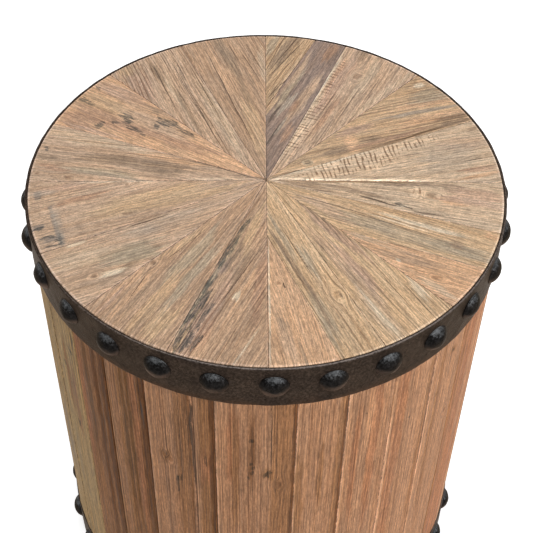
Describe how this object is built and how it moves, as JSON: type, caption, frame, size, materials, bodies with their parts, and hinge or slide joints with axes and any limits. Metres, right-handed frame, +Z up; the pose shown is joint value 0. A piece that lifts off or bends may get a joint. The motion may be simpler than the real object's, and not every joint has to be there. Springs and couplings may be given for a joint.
{
  "type": "drum side table",
  "caption": "Round drum side table: sunburst wedge top in a studded iron band, upright reclaimed wood staves and a second studded band round the foot.",
  "frame": {"origin": "on the floor, under the centre of the drum: the bottom centre of the whole table's box", "axes": "+Z up along the drum's axis, from the floor to the top; -Y is the side that faces a person in front of the table"},
  "size_m": [0.5268, 0.5268, 0.584],
  "materials": {
    "top_boards": "reclaimed pine, sawn and lightly sanded, matt oil",
    "staves": "reclaimed pine, brushed grain, matt oil",
    "band_iron": "blackened, waxed, worn at the edges",
    "stud_iron": "forged, blackened and waxed",
    "plywood": "bare plywood",
    "batten_pine": "bare planed pine",
    "glide_plastic": "moulded, matt"
  },
  "bodies": {
    "root": {"bottom_panel": "plywood", "frame_posts": "batten_pine", "glides": "glide_plastic", "lower_band_studs": "stud_iron", "lower_hoop": "plywood", "lower_iron_band": "band_iron", "stave_01": "staves", "stave_02": "staves", "stave_03": "staves", "stave_04": "staves", "stave_05": "staves", "stave_06": "staves", "stave_07": "staves", "stave_08": "staves", "stave_09": "staves", "stave_10": "staves", "stave_11": "staves", "stave_12": "staves", "stave_13": "staves", "stave_14": "staves", "stave_15": "staves", "stave_16": "staves", "stave_17": "staves", "stave_18": "staves", "stave_19": "staves", "stave_20": "staves", "stave_21": "staves", "stave_22": "staves", "stave_23": "staves", "stave_24": "staves", "stave_25": "staves", "stave_26": "staves", "stave_27": "staves", "stave_28": "staves", "stave_29": "staves", "top_core": "plywood", "top_wedge_01": "top_boards", "top_wedge_02": "top_boards", "top_wedge_03": "top_boards", "top_wedge_04_first_board": "top_boards", "top_wedge_04_second_board": "top_boards", "top_wedge_05": "top_boards", "top_wedge_06": "top_boards", "top_wedge_07": "top_boards", "top_wedge_08": "top_boards", "top_wedge_09": "top_boards", "top_wedge_10": "top_boards", "top_wedge_11": "top_boards", "top_wedge_12": "top_boards", "top_wedge_13_first_board": "top_boards", "top_wedge_13_second_board": "top_boards", "top_wedge_14": "top_boards", "top_wedge_15_first_board": "top_boards", "top_wedge_15_second_board": "top_boards", "top_wedge_16": "top_boards", "upper_band_studs": "stud_iron", "upper_hoop": "plywood", "upper_iron_band": "band_iron"}
  },
  "joints": []
}
